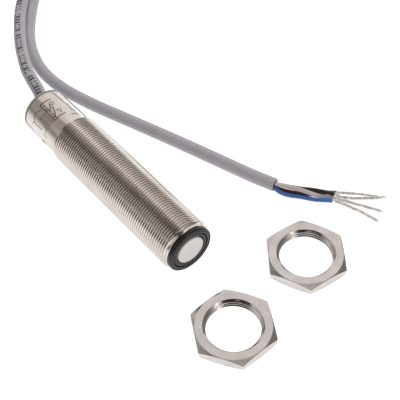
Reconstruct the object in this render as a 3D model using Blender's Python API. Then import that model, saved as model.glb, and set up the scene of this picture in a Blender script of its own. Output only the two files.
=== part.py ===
"""M18 cylindrical sensor with a tail cable, and its two lock nuts lying loose beside it.

Axes: the sensing face is at the origin and looks along +X, +Z is up, and the sensor,
the cable and the nuts lie on a level surface one thread radius below the axis.
"""
import math

import bmesh
import bpy
from mathutils import Matrix, Vector

MM = 0.001
GAP = 0.3 * MM  # left between pieces that touch on the real object

# Threaded housing
THREAD_RADIUS = 9.0 * MM  # M18 x 1
THREAD_PITCH = 1.0 * MM
THREAD_DEPTH = 0.61 * MM
PLAIN_STEP = 0.04 * MM  # from the thread's root down to the plain length
HOUSING_WALL = 0.55 * MM
HOUSING_FRONT = -1.5 * MM
THREAD_LENGTH = 61.5 * MM
THREAD_LEAD_IN = 0.5 * MM
PLAIN_LENGTH = 17.4 * MM
EDGE_CHAMFER = 0.3 * MM

# Front bezel and its seal
BEZEL_INSET = 0.7 * MM  # inside the thread's crests
BEZEL_SKIRT_END = -9.0 * MM
BEZEL_WALL = 0.8 * MM
BEZEL_MOUTH_DEPTH = 2.8 * MM
BEZEL_STEP = 0.8 * MM  # that the isolation ring sits on
RING_GROOVE_X = -5.4 * MM
RING_GROOVE_WIDTH = 1.3 * MM
RING_GROOVE_DEPTH = 0.9 * MM
RING_SECTION_RADIUS = 0.3 * MM

# Ultrasonic transducer
FACE_THICKNESS = 0.8 * MM
ISOLATION_DEPTH = 2.5 * MM
ISOLATION_WALL = 1.17 * MM
CUP_LENGTH = 6.0 * MM
CUP_WALL = 0.7 * MM
CUP_BASE = 0.5 * MM
PIEZO_THICKNESS = 0.5 * MM
BACKING_LENGTH = 3.6 * MM
LEAD_RADIUS = 0.3 * MM
LEAD_INSET = 1.13 * MM  # from the cup's inner wall

# Electronics
SLEEVE_WALL = 0.4 * MM
SLEEVE_FRONT = -9.6 * MM
SLEEVE_FROM_REAR = 15.9 * MM
BOARD_FRONT = -10.6 * MM
BOARD_FROM_REAR = 14.4 * MM
BOARD_CLEARANCE = 0.9 * MM
BOARD_THICKNESS = 1.0 * MM
BOARD_TOP = 0.0
TONGUE_LENGTH = 5.1 * MM
TONGUE_WIDTH = 4.4 * MM
CHIPS = (  # name, share of the board's length, centre y, length, width, height
    ("echo_amplifier", 0.22, -2.5, 5.0, 4.0, 1.5),
    ("microcontroller", 0.53, 0.0, 7.0, 7.0, 1.2),
    ("voltage_regulator", 0.71, 2.6, 4.4, 4.0, 1.6),
    ("output_transistor", 0.85, 2.4, 3.0, 2.6, 1.2),
)
TRANSFORMER_SHARE = 0.365  # of the board's length
TRANSFORMER_RADIUS = 3.2 * MM
TRANSFORMER_HEADROOM = 2.5 * MM
TRANSFORMER_FLANGE = 0.9 * MM
TRANSFORMER_WAIST_RADIUS = 2.6 * MM
CAPACITOR_SHARE = 0.83
CAPACITOR_Y = -2.8 * MM
CAPACITOR_RADIUS = 1.6 * MM
CAPACITOR_LENGTH = 7.0 * MM

# Indicator light in the side of the plain length
LIGHT_FROM_REAR = 10.5 * MM
LIGHT_ANGLE = math.radians(196.0)  # about the sensor's axis, from +Y towards +Z
LIGHT_RADIUS = 1.3 * MM
LIGHT_START = 4.3 * MM
LED_LENGTH = 1.6 * MM
LED_WIDTH = 1.8 * MM
LED_HEIGHT = 1.3 * MM

# Rear cap, potting and clamp
CAP_FLANGE = 1.0 * MM
CAP_PLUG_LENGTH = 3.6 * MM
CAP_THROAT_LENGTH = 1.3 * MM
CAP_MOUTH_RADIUS = 4.4 * MM
POTTING_LENGTH = 2.8 * MM
POTTING_HOLE_RADIUS = 3.7 * MM
CRIMP_LENGTH = 1.9 * MM
CRIMP_WALL = 0.5 * MM
CRIMP_FROM_JACKET_END = 0.4 * MM

# Cable
CABLE_DIAMETER = 4.6 * MM
CORE_DIAMETER = 1.35 * MM
STRAND_DIAMETER = 0.9 * MM
BOARD_WIRE_DIAMETER = 0.9 * MM
BOARD_WIRE_SPACING = 1.25 * MM
BOARD_WIRE_LENGTH = 3.6 * MM  # along the board
CORE_COLOURS = {
    "brown": (0.12, 0.05, 0.03), "white": (0.72, 0.69, 0.69),
    "blue": (0.06, 0.17, 0.5), "black": (0.02, 0.02, 0.02),
}
BOARD_WIRES = {  # side and level in the bundle, and place across the board in mm
    "brown": (-1, 1, -1.0), "black": (1, 1, 1.0), "white": (-1, -1, 0.0), "blue": (1, -1, 1.4),
}
COIL_CENTRE = (-186.4 * MM, 68.4 * MM)
COIL_OUTER_TURN_RADIUS = 39.5 * MM
COIL_TURNS_PER_LAYER = 4.93
COIL_LAYERS = 2
CABLE_POINT_SPACING = 10.0 * MM
CORE_POINT_SPACING = 3.6 * MM

# The cable's way over the floor, in mm: from the sensor to the coil, and from the coil to the
# stripped end. It is drawn for a cap that ends at ROUTE_CAP_REAR, a cable of ROUTE_DIAMETER and
# a sensor of ROUTE_THREAD_RADIUS, and moves with them.
ROUTE_CAP_REAR = -82.2 * MM
ROUTE_DIAMETER = 4.6 * MM
ROUTE_THREAD_RADIUS = 9.0 * MM
CROSSING_SPREAD = 1.5  # step aside of the coil and the end, for each step in diameter
TAIL_ROUTE = (
    (-75.0, 0.0, 0.0), (-78.9, 0.0, 0.0), (-82.2, 0.8, 0.0), (-86.5, 2.2, 0.0),
    (-90.9, 3.6, -0.1), (-95.6, 4.7, -0.3), (-100.5, 5.9, -0.6), (-104.4, 7.0, -0.9),
    (-112.8, 10.5, -1.6), (-120.9, 14.4, -2.2), (-128.6, 18.9, -2.6), (-135.8, 23.7, -2.7),
    (-142.7, 29.3, -2.8), (-147.6, 33.0, -3.3), (-151.6, 35.0, -4.2), (-154.1, 35.8, -4.8),
)
END_ROUTE = (
    (-148.9, 43.0, -5.3), (-147.8, 39.6, -6.2), (-144.9, 35.4, -6.7), (-138.0, 29.5, -6.7),
    (-130.7, 24.0, -6.7), (-122.8, 19.2, -6.7), (-114.0, 15.7, -6.7), (-106.0, 14.0, -6.7),
    (-97.5, 13.9, -6.7), (-88.9, 15.2, -6.7), (-77.1, 18.4, -6.7), (-62.6, 23.3, -6.7),
    (-46.5, 28.7, -6.7), (-30.9, 33.7, -6.7), (-15.7, 38.5, -6.7), (-6.7, 41.8, -6.7),
)
CORE_ROUTES = {
    "core_white": (
        (-6.3, 41.8, -5.7), (-2.9, 43.8, -5.8), (1.1, 46.4, -6.0), (4.6, 48.7, -6.8),
        (6.6, 51.2, -8.1), (9.3, 53.4, -8.2),
    ),
    "core_blue": (
        (-5.9, 40.8, -6.9), (-3.2, 41.6, -7.6), (-1.0, 43.0, -8.0), (2.0, 45.4, -8.0),
        (6.0, 48.0, -7.8), (8.4, 50.1, -7.6), (10.4, 52.0, -7.6),
    ),
    "core_black": (
        (-6.8, 42.8, -7.0), (-4.1, 44.8, -7.4), (-0.1, 47.4, -7.1), (3.3, 49.8, -6.6),
        (6.8, 52.1, -6.4), (9.5, 53.9, -6.4),
    ),
    "core_brown": (
        (-6.4, 41.9, -8.1), (-3.2, 43.7, -8.3), (0.9, 46.6, -8.3), (4.0, 49.9, -8.3),
        (5.5, 52.5, -8.2), (9.0, 55.4, -7.3),
    ),
}
STRAND_ENDS = {  # points after the core's end
    "strands_white": ((13.5, 55.8, -8.2), (19.5, 59.2, -8.3), (24.2, 61.8, -8.4)),
    "strands_blue": ((13.4, 53.9, -8.0), (19.6, 56.3, -8.4), (26.3, 57.8, -8.4)),
    "strands_black": (
        (11.9, 54.9, -6.6), (14.8, 58.2, -7.2), (18.6, 62.9, -7.4), (21.0, 66.1, -7.4),
    ),
    "strands_brown": ((14.2, 60.7, -7.6), (18.1, 64.4, -8.2), (20.7, 67.0, -8.4)),
}

# Lock nuts, loose on the same surface: centre x, centre y, turn about +Z
NUT_WALL = 3.0 * MM  # from the thread's crests to a flat
NUT_THICKNESS = 3.6 * MM
NUT_THREAD_DEPTH = 0.5 * MM
NUT_MOUTH_DEPTH = 0.5 * MM  # outside the thread's crests
NUT_CHAMFER_ANGLE = math.radians(24.0)
NUT_FACE_INSET = 0.4 * MM  # from a flat
NUTS = {
    "lock_nut_1": (21.4, 29.3, math.degrees(2.49)),
    "lock_nut_2": (26.6, -5.6, math.degrees(2.63)),
}

SEGMENTS = 48
THREAD_SEGMENTS = 24
INNER_SEGMENTS = 32
SMALL_SEGMENTS = 16

# Worked out from the sizes above
FLOOR_Z = -THREAD_RADIUS
THREAD_FRONT = HOUSING_FRONT - THREAD_LEAD_IN
THREAD_REAR = THREAD_FRONT - THREAD_LENGTH
HOUSING_REAR = THREAD_REAR - PLAIN_LENGTH
ROOT_RADIUS = THREAD_RADIUS - THREAD_DEPTH
TAIL_RADIUS = ROOT_RADIUS - PLAIN_STEP  # plain length behind the thread
BORE_RADIUS = TAIL_RADIUS - HOUSING_WALL
SKIRT_RADIUS = BORE_RADIUS - GAP  # of whatever sits in the bore
BEZEL_RADIUS = THREAD_RADIUS - BEZEL_INSET
BEZEL_MOUTH_RADIUS = SKIRT_RADIUS - BEZEL_WALL
BEZEL_INNER_RADIUS = BEZEL_MOUTH_RADIUS - BEZEL_STEP
ISOLATION_RADIUS = BEZEL_MOUTH_RADIUS - GAP
FACE_RADIUS = ISOLATION_RADIUS - ISOLATION_WALL - GAP
CAP_FRONT = HOUSING_REAR - GAP
CAP_REAR = CAP_FRONT - CAP_FLANGE
CABLE_RADIUS = CABLE_DIAMETER / 2
CUP_FRONT = -FACE_THICKNESS - GAP
CUP_INNER_RADIUS = FACE_RADIUS - CUP_WALL
LEAD_OFFSET = CUP_INNER_RADIUS - LEAD_INSET
PIEZO_FRONT = CUP_FRONT - CUP_BASE - GAP
BACKING_FRONT = PIEZO_FRONT - PIEZO_THICKNESS - GAP
SLEEVE_INNER_RADIUS = SKIRT_RADIUS - SLEEVE_WALL
SLEEVE_REAR = HOUSING_REAR + SLEEVE_FROM_REAR
BOARD_REAR = HOUSING_REAR + BOARD_FROM_REAR
BOARD_LENGTH = BOARD_FRONT - BOARD_REAR
BOARD_WIDTH = 2 * (SLEEVE_INNER_RADIUS - BOARD_CLEARANCE)
TRANSFORMER_HEIGHT = SLEEVE_INNER_RADIUS - TRANSFORMER_HEADROOM
LIGHT_X = HOUSING_REAR + LIGHT_FROM_REAR
COIL_TURN_SPAN = COIL_TURNS_PER_LAYER * CABLE_DIAMETER
ROUTE_SHIFT = CAP_REAR - ROUTE_CAP_REAR
END_SIDESTEP = CROSSING_SPREAD * (CABLE_DIAMETER - ROUTE_DIAMETER)
JACKET_END = TAIL_ROUTE[0][0] * MM + ROUTE_SHIFT
NUT_BORE_RADIUS = THREAD_RADIUS - NUT_THREAD_DEPTH
NUT_MOUTH_RADIUS = THREAD_RADIUS + NUT_MOUTH_DEPTH
NUT_ACROSS_FLATS = 2 * (THREAD_RADIUS + NUT_WALL)
NUT_FACE_RADIUS = NUT_ACROSS_FLATS / 2 - NUT_FACE_INSET


def material(name, colour, roughness, metallic=0.0):
    finish = bpy.data.materials.new(name)
    finish.use_nodes = True
    shader = finish.node_tree.nodes["Principled BSDF"]
    shader.inputs["Base Color"].default_value = (*colour, 1.0)
    shader.inputs["Roughness"].default_value = roughness
    shader.inputs["Metallic"].default_value = metallic
    finish.diffuse_color = (*colour, 1.0)
    return finish


def add_piece(name, data, finish):
    piece = bpy.data.objects.new(name, data)
    piece.data.materials.append(finish)
    bpy.context.collection.objects.link(piece)
    return piece


def mesh_from(name, bm, smooth_angle=math.radians(35.0)):
    bmesh.ops.recalc_face_normals(bm, faces=bm.faces)
    mesh = bpy.data.meshes.new(name)
    bm.to_mesh(mesh)
    bm.free()
    mesh.shade_smooth()
    mesh.set_sharp_from_angle(angle=smooth_angle)
    return mesh


def turned(name, outline, segments, along="X", centre=(0.0, 0.0, 0.0)):
    """A closed outline of (place along the axis, radius) points, turned about that axis.

    The outline stays off the axis, or has its first and last points on it.
    """
    bm = bmesh.new()
    rings = []
    for place, radius in outline:
        if radius == 0.0:
            rings.append([bm.verts.new((place, 0.0, 0.0))])
            continue
        angles = [2 * math.pi * k / segments for k in range(segments)]
        rings.append([
            bm.verts.new((place, radius * math.cos(a), radius * math.sin(a))) for a in angles
        ])
    solid_core = len(rings[0]) == 1
    pairs = list(zip(rings, rings[1:]))
    if not solid_core:
        pairs.append((rings[-1], rings[0]))
    for first, second in pairs:
        for k in range(segments):
            after = (k + 1) % segments
            corners = [first[k % len(first)], first[after % len(first)]]
            corners += [second[after % len(second)], second[k % len(second)]]
            bm.faces.new(list(dict.fromkeys(corners)))
    if along == "Z":
        bm.transform(Matrix.Rotation(-math.pi / 2, 4, "Y"))
    bm.transform(Matrix.Translation(Vector(centre)))
    return mesh_from(name, bm)


def block(name, centre, size):
    bm = bmesh.new()
    bmesh.ops.create_cube(bm, size=1.0)
    bm.transform(Matrix.Translation(Vector(centre)) @ Matrix.Diagonal((*size, 1.0)))
    return mesh_from(name, bm)


def plate(name, outline, bottom, thickness):
    """A flat plate with the outline given as (x, y) points."""
    bm = bmesh.new()
    face = bm.faces.new([bm.verts.new((x, y, bottom)) for x, y in outline])
    raised = bmesh.ops.extrude_face_region(bm, geom=[face])
    moved = [v for v in raised["geom"] if isinstance(v, bmesh.types.BMVert)]
    bmesh.ops.translate(bm, verts=moved, vec=(0.0, 0.0, thickness))
    return mesh_from(name, bm)


def cut(piece, cutter_mesh, operation="DIFFERENCE"):
    cutter = bpy.data.objects.new(piece.name + "_cutter", cutter_mesh)
    bpy.context.collection.objects.link(cutter)
    cutter.hide_render = True
    cutter.display_type = "WIRE"
    boolean = piece.modifiers.new("cut", "BOOLEAN")
    boolean.operation = operation
    boolean.solver = "EXACT"
    boolean.object = cutter


def smooth_route(points, spacing):
    """Evenly spaced points on a smooth curve through a route's own points (Catmull-Rom)."""
    knots = [Vector(p) for p in points]
    knots = [2 * knots[0] - knots[1], *knots, 2 * knots[-1] - knots[-2]]
    fine = []
    steps = 16
    for a, b, c, d in zip(knots, knots[1:], knots[2:], knots[3:]):
        for k in range(steps):
            t = k / steps
            fine.append(0.5 * (
                2 * b + (c - a) * t + (2 * a - 5 * b + 4 * c - d) * t ** 2
                + (3 * b - a - 3 * c + d) * t ** 3
            ))
    fine.append(knots[-2])
    lengths = [0.0]
    for p, q in zip(fine, fine[1:]):
        lengths.append(lengths[-1] + (q - p).length)
    count = max(2, round(lengths[-1] / spacing))
    even = []
    k = 0
    for n in range(count + 1):
        target = lengths[-1] * n / count
        while k < len(fine) - 2 and lengths[k + 1] < target:
            k += 1
        share = (target - lengths[k]) / (lengths[k + 1] - lengths[k])
        even.append(fine[k].lerp(fine[k + 1], share))
    return even


def tube(name, points, diameter, finish, resolution=2):
    curve = bpy.data.curves.new(name, "CURVE")
    curve.dimensions = "3D"
    curve.bevel_depth = diameter / 2
    curve.bevel_resolution = resolution
    curve.use_fill_caps = True
    spline = curve.splines.new("POLY")
    spline.points.add(len(points) - 1)
    for point, place in zip(spline.points, points):
        point.co = (*place, 1.0)
    spline.use_smooth = True
    return add_piece(name, curve, finish)


def laid_cable(points, sidestep=0.0):
    """A cable route in place: its heights run from the sensor's axis down to the floor."""
    drop = (CABLE_RADIUS + FLOOR_Z) / (ROUTE_DIAMETER / 2 - ROUTE_THREAD_RADIUS)
    return [
        Vector((x * MM + ROUTE_SHIFT, y * MM + sidestep, z * MM * drop)) for x, y, z in points
    ]


def laid_core(points):
    """A core's or a strand's route in place, beside the end of the cable."""
    lift = FLOOR_Z + ROUTE_THREAD_RADIUS
    return [
        Vector((x * MM + ROUTE_SHIFT, y * MM + END_SIDESTEP, z * MM + lift)) for x, y, z in points
    ]


def housing_mesh():
    """The tube with its right-hand external thread, two rows of points to each pitch."""
    bm = bmesh.new()
    turns = round(THREAD_LENGTH / THREAD_PITCH)
    rows = 2 * (turns - 1)
    angles = [2 * math.pi * k / THREAD_SEGMENTS for k in range(THREAD_SEGMENTS)]

    def ring(place, radius):
        return [
            bm.verts.new((place, radius * math.cos(a), radius * math.sin(a))) for a in angles
        ]

    def join(first, second):
        for k in range(THREAD_SEGMENTS):
            after = (k + 1) % THREAD_SEGMENTS
            bm.faces.new((first[k], first[after], second[after], second[k]))

    helix = []
    for row in range(rows + 1):
        line = []
        for k, angle in enumerate(angles):
            advance = (row / 2 + k / THREAD_SEGMENTS) * THREAD_PITCH
            inset = min(advance, THREAD_LENGTH - THREAD_PITCH - advance) / THREAD_PITCH
            height = THREAD_DEPTH * min(1.0, max(0.0, inset)) if row % 2 else 0.0
            place = THREAD_FRONT - advance
            radius = ROOT_RADIUS + height
            line.append(
                bm.verts.new((place, radius * math.cos(angle), radius * math.sin(angle)))
            )
        helix.append(line)
    for row in range(rows):
        for k in range(THREAD_SEGMENTS - 1):
            bm.faces.new((
                helix[row][k], helix[row][k + 1], helix[row + 1][k + 1], helix[row + 1][k],
            ))
    last = THREAD_SEGMENTS - 1
    for row in range(rows - 2):
        bm.faces.new((
            helix[row][last], helix[row + 2][0], helix[row + 3][0], helix[row + 1][last],
        ))
    front = ring(THREAD_FRONT + THREAD_LEAD_IN / 2, ROOT_RADIUS)
    rear = ring(THREAD_REAR, TAIL_RADIUS)
    for k in range(last):
        bm.faces.new((front[k], front[k + 1], helix[0][k + 1], helix[0][k]))
        bm.faces.new((helix[rows][k], helix[rows][k + 1], rear[k + 1], rear[k]))
    bm.faces.new((front[last], front[0], helix[0][0], helix[1][0], helix[2][0], helix[0][last]))
    bm.faces.new((
        rear[last], rear[0], helix[rows][0], helix[rows - 1][last], helix[rows][last],
    ))
    bm.faces.new((helix[rows - 2][last], helix[rows][0], helix[rows - 1][last]))
    nose = ring(HOUSING_FRONT, ROOT_RADIUS - EDGE_CHAMFER / 2)
    bore_front = ring(HOUSING_FRONT, BORE_RADIUS)
    bore_rear = ring(HOUSING_REAR, BORE_RADIUS)
    heel = ring(HOUSING_REAR, TAIL_RADIUS - EDGE_CHAMFER)
    shoulder = ring(HOUSING_REAR + EDGE_CHAMFER, TAIL_RADIUS)
    join(front, nose)
    join(nose, bore_front)
    join(bore_front, bore_rear)
    join(bore_rear, heel)
    join(heel, shoulder)
    join(shoulder, rear)
    bmesh.ops.triangulate(bm, faces=[f for f in bm.faces if len(f.verts) > 4])
    return mesh_from("housing_tube", bm)


def light_axis():
    return Vector((0.0, math.cos(LIGHT_ANGLE), math.sin(LIGHT_ANGLE)))


def radial_cylinder(name, radius, start, end):
    """A round bar on the indicator light's axis, between two distances from the sensor's axis."""
    bm = bmesh.new()
    bmesh.ops.create_cone(
        bm, cap_ends=True, segments=SMALL_SEGMENTS, radius1=radius, radius2=radius,
        depth=end - start,
    )
    turn = Vector((0.0, 0.0, 1.0)).rotation_difference(light_axis()).to_matrix().to_4x4()
    middle = Vector((LIGHT_X, 0.0, 0.0)) + light_axis() * (start + end) / 2
    bm.transform(Matrix.Translation(middle) @ turn)
    return mesh_from(name, bm)


def build_housing():
    nickel = material("nickel_plated_brass", (0.62, 0.58, 0.53), 0.28, 1.0)
    housing = add_piece("housing_tube", housing_mesh(), nickel)
    reach = (BORE_RADIUS - 2 * GAP, TAIL_RADIUS + 2 * GAP)
    cut(housing, radial_cylinder("light_hole", LIGHT_RADIUS + GAP, *reach))


def build_front():
    black = material("black_plastic", (0.03, 0.03, 0.032), 0.35)
    skirt = SKIRT_RADIUS
    flange_back = HOUSING_FRONT + GAP
    groove = RING_GROOVE_WIDTH / 2
    floor = skirt - RING_GROOVE_DEPTH
    bezel = (
        (0.0, BEZEL_MOUTH_RADIUS), (0.0, BEZEL_RADIUS - EDGE_CHAMFER),
        (-EDGE_CHAMFER, BEZEL_RADIUS), (flange_back, BEZEL_RADIUS), (flange_back, skirt),
        (RING_GROOVE_X + groove, skirt), (RING_GROOVE_X + groove, floor),
        (RING_GROOVE_X - groove, floor), (RING_GROOVE_X - groove, skirt),
        (BEZEL_SKIRT_END, skirt), (BEZEL_SKIRT_END, BEZEL_INNER_RADIUS),
        (-BEZEL_MOUTH_DEPTH, BEZEL_INNER_RADIUS), (-BEZEL_MOUTH_DEPTH, BEZEL_MOUTH_RADIUS),
    )
    add_piece("front_bezel", turned("front_bezel", bezel, SEGMENTS), black)
    rubber = material("black_rubber", (0.02, 0.02, 0.02), 0.7)
    inner = FACE_RADIUS + GAP
    outer = ISOLATION_RADIUS
    isolation = ((0.0, inner), (0.0, outer), (-ISOLATION_DEPTH, outer), (-ISOLATION_DEPTH, inner))
    add_piece("isolation_ring", turned("isolation_ring", isolation, SEGMENTS), rubber)
    middle = (skirt + floor) / 2
    section = [2 * math.pi * k / 8 for k in range(8)]
    seal = [
        (
            RING_GROOVE_X + RING_SECTION_RADIUS * math.cos(a),
            middle + RING_SECTION_RADIUS * math.sin(a),
        )
        for a in section
    ]
    add_piece("front_o_ring", turned("front_o_ring", seal, INNER_SEGMENTS), rubber)


def build_transducer():
    face = material("matching_layer", (0.72, 0.70, 0.68), 0.6)
    disc = ((0.0, 0.0), (0.0, FACE_RADIUS), (-FACE_THICKNESS, FACE_RADIUS), (-FACE_THICKNESS, 0.0))
    add_piece("transducer_face", turned("transducer_face", disc, SEGMENTS), face)
    aluminium = material("aluminium_cup", (0.7, 0.7, 0.7), 0.35, 1.0)
    cup_floor = CUP_FRONT - CUP_BASE
    cup_rear = CUP_FRONT - CUP_LENGTH
    cup = (
        (CUP_FRONT, 0.0), (CUP_FRONT, FACE_RADIUS), (cup_rear, FACE_RADIUS),
        (cup_rear, CUP_INNER_RADIUS), (cup_floor, CUP_INNER_RADIUS), (cup_floor, 0.0),
    )
    add_piece("transducer_cup", turned("transducer_cup", cup, INNER_SEGMENTS), aluminium)
    ceramic = material("piezo_ceramic", (0.55, 0.5, 0.4), 0.5)
    radius = CUP_INNER_RADIUS - GAP
    rear = PIEZO_FRONT - PIEZO_THICKNESS
    piezo = ((PIEZO_FRONT, 0.0), (PIEZO_FRONT, radius), (rear, radius), (rear, 0.0))
    add_piece("piezo_disc", turned("piezo_disc", piezo, INNER_SEGMENTS), ceramic)
    foam = material("backing_resin", (0.12, 0.12, 0.12), 0.8)
    radius = LEAD_OFFSET - LEAD_RADIUS - GAP
    rear = BACKING_FRONT - BACKING_LENGTH
    backing = ((BACKING_FRONT, 0.0), (BACKING_FRONT, radius), (rear, radius), (rear, 0.0))
    add_piece("backing_block", turned("backing_block", backing, INNER_SEGMENTS), foam)
    lead_end = BOARD_FRONT - 2.0 * MM
    for name, side, colour in (
        ("transducer_lead_red", 1, (0.6, 0.02, 0.02)),
        ("transducer_lead_black", -1, (0.02, 0.02, 0.02)),
    ):
        start = Vector((BACKING_FRONT, side * LEAD_OFFSET, LEAD_RADIUS + GAP))
        end = Vector((lead_end, side * LEAD_OFFSET, LEAD_RADIUS + GAP))
        middle = start.lerp(end, 0.5)
        tube(name, [start, middle, end], 2 * LEAD_RADIUS, material(name, colour, 0.5))


def board_outline():
    rear = BOARD_REAR
    wide = BOARD_WIDTH / 2
    narrow = TONGUE_WIDTH / 2
    tip = rear - TONGUE_LENGTH
    return (
        (BOARD_FRONT, -wide), (BOARD_FRONT, wide), (rear, wide), (rear, narrow),
        (tip, narrow), (tip, -narrow), (rear, -narrow), (rear, -wide),
    )


def build_electronics():
    film = material("insulating_film", (0.75, 0.62, 0.35), 0.4)
    outer = SKIRT_RADIUS
    inner = SLEEVE_INNER_RADIUS
    rear = SLEEVE_REAR
    sleeve = ((SLEEVE_FRONT, inner), (SLEEVE_FRONT, outer), (rear, outer), (rear, inner))
    add_piece("insulating_sleeve", turned("insulating_sleeve", sleeve, INNER_SEGMENTS), film)
    board = plate("circuit_board", board_outline(), BOARD_TOP - BOARD_THICKNESS, BOARD_THICKNESS)
    add_piece("circuit_board", board, material("solder_mask", (0.02, 0.18, 0.07), 0.4))
    resin = material("chip_package", (0.03, 0.03, 0.03), 0.5)
    for name, share, y, length, width, height in CHIPS:
        size = Vector((length, width, height)) * MM
        centre = (BOARD_FRONT - share * BOARD_LENGTH, y * MM, BOARD_TOP + GAP + size.z / 2)
        add_piece(name, block(name, centre, size), resin)
    base = BOARD_TOP + GAP
    top = TRANSFORMER_HEIGHT
    flange = TRANSFORMER_FLANGE
    bobbin = (
        (0.0, 0.0), (0.0, TRANSFORMER_RADIUS), (flange, TRANSFORMER_RADIUS),
        (flange, TRANSFORMER_WAIST_RADIUS), (top - flange, TRANSFORMER_WAIST_RADIUS),
        (top - flange, TRANSFORMER_RADIUS), (top, TRANSFORMER_RADIUS), (top, 0.0),
    )
    x = BOARD_FRONT - TRANSFORMER_SHARE * BOARD_LENGTH
    mesh = turned("pulse_transformer", bobbin, SMALL_SEGMENTS, "Z", (x, 0.0, base))
    add_piece("pulse_transformer", mesh, material("ferrite", (0.08, 0.075, 0.07), 0.6))
    x = BOARD_FRONT - CAPACITOR_SHARE * BOARD_LENGTH
    radius = CAPACITOR_RADIUS
    can = (
        (x + CAPACITOR_LENGTH / 2, 0.0), (x + CAPACITOR_LENGTH / 2, radius),
        (x - CAPACITOR_LENGTH / 2, radius), (x - CAPACITOR_LENGTH / 2, 0.0),
    )
    mesh = turned("buffer_capacitor", can, SMALL_SEGMENTS, "X", (0.0, CAPACITOR_Y, base + radius))
    add_piece("buffer_capacitor", mesh, material("capacitor_sleeve", (0.05, 0.08, 0.25), 0.4))


def build_indicator():
    clear = material("smoked_lens", (0.05, 0.045, 0.04), 0.2)
    end = TAIL_RADIUS - GAP / 3
    add_piece("led_window", radial_cylinder("led_window", LIGHT_RADIUS, LIGHT_START, end), clear)
    top = BOARD_TOP - BOARD_THICKNESS - GAP
    inner_edge = light_axis() * (LIGHT_START - GAP)
    centre = (LIGHT_X, inner_edge.y + LED_WIDTH, top - LED_HEIGHT / 2)
    led = block("signal_led", centre, (LED_LENGTH, LED_WIDTH, LED_HEIGHT))
    add_piece("signal_led", led, material("led_package", (0.8, 0.75, 0.4), 0.3))


def build_rear():
    cap_plastic = material("translucent_cap", (0.35, 0.36, 0.33), 0.3)
    skirt = SKIRT_RADIUS
    throat = CABLE_RADIUS + GAP
    nose = CAP_FRONT + GAP + CAP_PLUG_LENGTH
    cap = (
        (nose, throat), (nose, skirt), (CAP_FRONT, skirt), (CAP_FRONT, BEZEL_RADIUS),
        (CAP_REAR + EDGE_CHAMFER, BEZEL_RADIUS), (CAP_REAR, BEZEL_RADIUS - EDGE_CHAMFER),
        (CAP_REAR, CAP_MOUTH_RADIUS), (nose - CAP_THROAT_LENGTH, throat),
    )
    add_piece("rear_cap", turned("rear_cap", cap, SEGMENTS), cap_plastic)
    resin = material("potting_resin", (0.06, 0.06, 0.06), 0.5)
    rear = nose + GAP
    front = rear + POTTING_LENGTH
    hole = POTTING_HOLE_RADIUS
    potting = ((front, hole), (front, skirt), (rear, skirt), (rear, hole))
    add_piece("potting_plug", turned("potting_plug", potting, INNER_SEGMENTS), resin)
    brass = material("crimp_brass", (0.7, 0.55, 0.3), 0.35, 1.0)
    front = JACKET_END - CRIMP_FROM_JACKET_END
    rear = front - CRIMP_LENGTH
    outer = throat + CRIMP_WALL
    crimp = ((front, throat), (front, outer), (rear, outer), (rear, throat))
    add_piece("crimp_ring", turned("crimp_ring", crimp, INNER_SEGMENTS), brass)


def build_board_wires():
    """The four cores inside the sensor: two go to the board's top and two to its underside."""
    jacket_end = JACKET_END + GAP
    tongue_tip = BOARD_REAR - TONGUE_LENGTH
    standoff = GAP + BOARD_WIRE_DIAMETER / 2
    bundle = 0.75 * BOARD_WIRE_SPACING
    for name, (across, up, across_board) in BOARD_WIRES.items():
        level = BOARD_TOP + standoff if up > 0 else BOARD_TOP - BOARD_THICKNESS - standoff
        start = Vector((jacket_end, across * bundle, up * bundle))
        straight = start + Vector((BOARD_WIRE_DIAMETER / 2, 0.0, 0.0))
        lead_in = Vector((tongue_tip - GAP, across_board * MM, level))
        end = Vector((tongue_tip + BOARD_WIRE_LENGTH, across_board * MM, level))
        finish = material("board_wire_" + name, CORE_COLOURS[name], 0.5)
        points = [start, straight, lead_in, end]
        tube("board_wire_" + name, points, BOARD_WIRE_DIAMETER, finish)


def build_cable():
    jacket = material("grey_jacket", (0.36, 0.35, 0.38), 0.5)
    clamped, *free = laid_cable(TAIL_ROUTE)
    tail = [clamped, *smooth_route(free, CABLE_POINT_SPACING)]
    tube("cable_tail", tail, CABLE_DIAMETER, jacket, 3)
    outer = COIL_OUTER_TURN_RADIUS + CABLE_RADIUS
    inner = COIL_OUTER_TURN_RADIUS - COIL_TURN_SPAN - CABLE_RADIUS
    height = COIL_LAYERS * CABLE_DIAMETER
    bevel = 0.3 * CABLE_DIAMETER
    ring = (
        (bevel, inner), (0.0, inner + bevel), (0.0, outer - bevel), (bevel, outer),
        (height - bevel, outer), (height, outer - bevel), (height, inner + bevel),
        (height - bevel, inner),
    )
    centre = (COIL_CENTRE[0] + ROUTE_SHIFT, COIL_CENTRE[1] + END_SIDESTEP, FLOOR_Z)
    mesh = turned("cable_coil", ring, SEGMENTS, "Z", centre)
    add_piece("cable_coil", mesh, jacket.copy())
    end = smooth_route(laid_cable(END_ROUTE, END_SIDESTEP), CABLE_POINT_SPACING)
    tube("cable_end", end, CABLE_DIAMETER, jacket.copy(), 3)


def build_stripped_end():
    tin = material("tinned_copper", (0.6, 0.58, 0.56), 0.35, 1.0)
    for name, route in CORE_ROUTES.items():
        colour = CORE_COLOURS[name.removeprefix("core_")]
        core = smooth_route(laid_core(route), CORE_POINT_SPACING)
        tube(name, core, CORE_DIAMETER, material(name, colour, 0.4))
        strands = name.replace("core", "strands")
        heading = (core[-1] - core[-2]).normalized()
        ends = [core[-1] + heading * GAP, *laid_core(STRAND_ENDS[strands])]
        bare = smooth_route(ends, CORE_POINT_SPACING)
        tube(strands, bare, STRAND_DIAMETER, tin.copy())


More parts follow.
